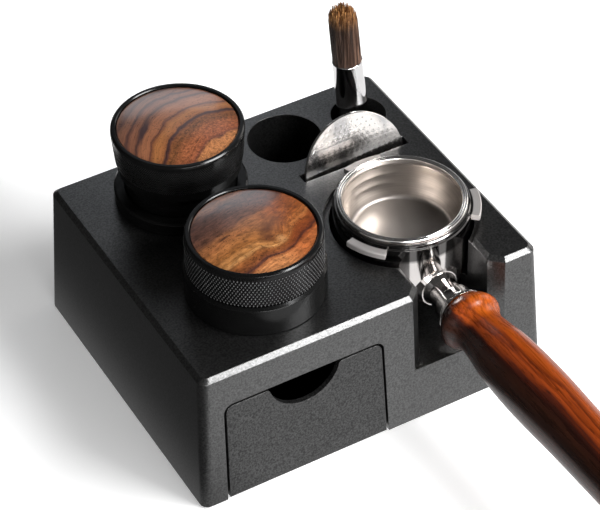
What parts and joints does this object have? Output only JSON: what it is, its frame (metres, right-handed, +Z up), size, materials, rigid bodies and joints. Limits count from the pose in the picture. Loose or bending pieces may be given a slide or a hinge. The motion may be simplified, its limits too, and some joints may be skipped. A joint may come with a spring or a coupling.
{
  "type": "espresso tamping station",
  "caption": "Moulded black station with a tray drawer, holding a wooden-handled portafilter, a levelling distributor, a sprung tamper, a brush and a puck screen.",
  "frame": {"origin": "on the ground, under the middle of the case", "axes": "+Z up, -Y the front with the drawer and the handle, +X to the right seen from the front"},
  "size_m": [0.1754, 0.2827, 0.1324],
  "materials": {
    "case_plastic": "fine-grained satin black",
    "hidden_plastic": "plain black moulding",
    "mat_rubber": "matt black",
    "screw_steel": "zinc plated",
    "chrome": "polished plating",
    "basket_steel": "satin stainless",
    "tool_steel": "turned stainless",
    "black_anodised": "black anodised, knurled sides",
    "ring_anodised": "black anodised, turned smooth",
    "walnut": "oiled, curved growth rings",
    "red_wood": "lacquered, dark streaks",
    "dark_wood": "stained dark",
    "hair": "brown hair, golden at the tip",
    "screen_mesh": "sintered mesh, matt"
  },
  "bodies": {
    "station": {"station_housing": "case_plastic", "base_plate": "hidden_plastic", "base_screws": "screw_steel", "anti_slip_mat": "mat_rubber", "portafilter_body": "chrome", "filter_basket": "basket_steel", "basket_clip_ring": "tool_steel", "handle_collar": "chrome", "handle_stud": "tool_steel", "handle_grip": "red_wood", "distributor_ring": "ring_anodised", "tamper_collar": "ring_anodised", "tamper_spring": "tool_steel", "tamper_shaft": "tool_steel", "tamper_base": "tool_steel", "brush_handle": "dark_wood", "brush_ferrule": "chrome", "brush_bristles": "hair", "puck_screen": "screen_mesh"},
    "drawer": {"drawer": "case_plastic"},
    "distributor": {"distributor_grip": "black_anodised", "distributor_inlay": "walnut", "distributor_base": "tool_steel", "distributor_screw": "tool_steel"},
    "tamper_head": {"tamper_knob": "black_anodised", "tamper_inlay": "walnut"}
  },
  "joints": [
    {"name": "drawer_slide", "type": "slide", "parent": "station", "child": "drawer", "axis": [0, -1, 0], "range_m": [0, 0.1]},
    {"name": "distributor_turn", "type": "hinge", "parent": "station", "child": "distributor", "pos_m": [-0.0349, -0.0319, 0.09], "axis": [0, 0, 1], "range_deg": [-180, 180]},
    {"name": "tamper_press", "type": "slide", "parent": "station", "child": "tamper_head", "axis": [0, 0, -1], "range_m": [0, 0.008], "stiffness_N_per_m": 6000, "springref_m": -0.002, "deforming": ["tamper_spring"]}
  ]
}
